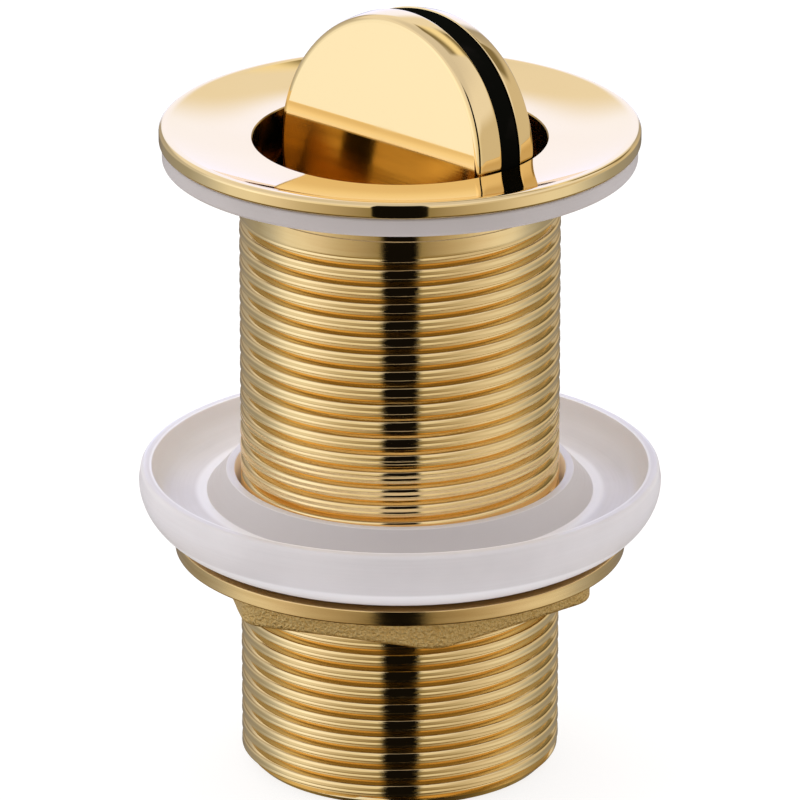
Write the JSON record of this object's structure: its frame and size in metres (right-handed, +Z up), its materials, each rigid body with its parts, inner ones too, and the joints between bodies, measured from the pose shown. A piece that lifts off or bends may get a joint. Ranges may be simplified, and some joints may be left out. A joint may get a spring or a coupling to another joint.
{
  "type": "flip-top basin waste",
  "caption": "Flanged basin outlet with a swivelling sealed plug in its throat, a long threaded tail, a gasket under the flange, a cup washer and a back nut.",
  "frame": {"origin": "on the tube's axis, at the end of the threaded tail", "axes": "+Z up along the tube towards the flange; X along the plug's pivot axis; -Y on the side that the open plug's front face looks to"},
  "size_m": [0.0686, 0.0686, 0.1024],
  "materials": {
    "polished_gold": "polished gold plating on turned brass",
    "cast_gold": "gold plating, turned on the round flange and sand cast on the hexagon",
    "plain_brass": "turned",
    "white_plastic": "moulded, milky, satin",
    "black_rubber": "moulded, satin",
    "stainless_steel": "drawn and turned"
  },
  "bodies": {
    "tube": {"waste_body": "polished_gold", "flange_gasket": "white_plastic"},
    "plug": {"disc_front": "polished_gold", "disc_rear": "polished_gold", "seal_ring": "black_rubber", "disc_screw": "stainless_steel", "pin_spring_left": "stainless_steel", "pin_spring_right": "stainless_steel"},
    "left_pin": {"pivot_pin_left": "plain_brass"},
    "right_pin": {"pivot_pin_right": "plain_brass"},
    "washer": {"cup_washer": "white_plastic"},
    "nut": {"back_nut": "cast_gold"}
  },
  "joints": [
    {"name": "plug_swivel", "type": "hinge", "parent": "tube", "child": "plug", "pos_m": [0, 0, 0.08375], "axis": [1, 0, 0], "range_deg": [-82, 98]},
    {"name": "left_pin_press", "type": "slide", "parent": "plug", "child": "left_pin", "axis": [1, 0, 0], "range_m": [0, 0.0011], "stiffness_N_per_m": 600, "deforming": ["pin_spring_left"]},
    {"name": "right_pin_press", "type": "slide", "parent": "plug", "child": "right_pin", "axis": [-1, 0, 0], "range_m": [0, 0.0011], "stiffness_N_per_m": 600, "deforming": ["pin_spring_right"]},
    {"name": "washer_travel", "type": "slide", "parent": "tube", "child": "washer", "axis": [0, 0, 1], "range_m": [-0.0224, 0.0418]},
    {"name": "nut_spin", "type": "hinge", "parent": "washer", "child": "nut", "pos_m": [0, 0, 0.0278], "axis": [0, 0, 1], "range_deg": [-3490, 6510]}
  ],
  "couplings": [
    {"joint": "washer_travel", "follows": "nut_spin", "m_per_rad": 0.00036749}
  ]
}
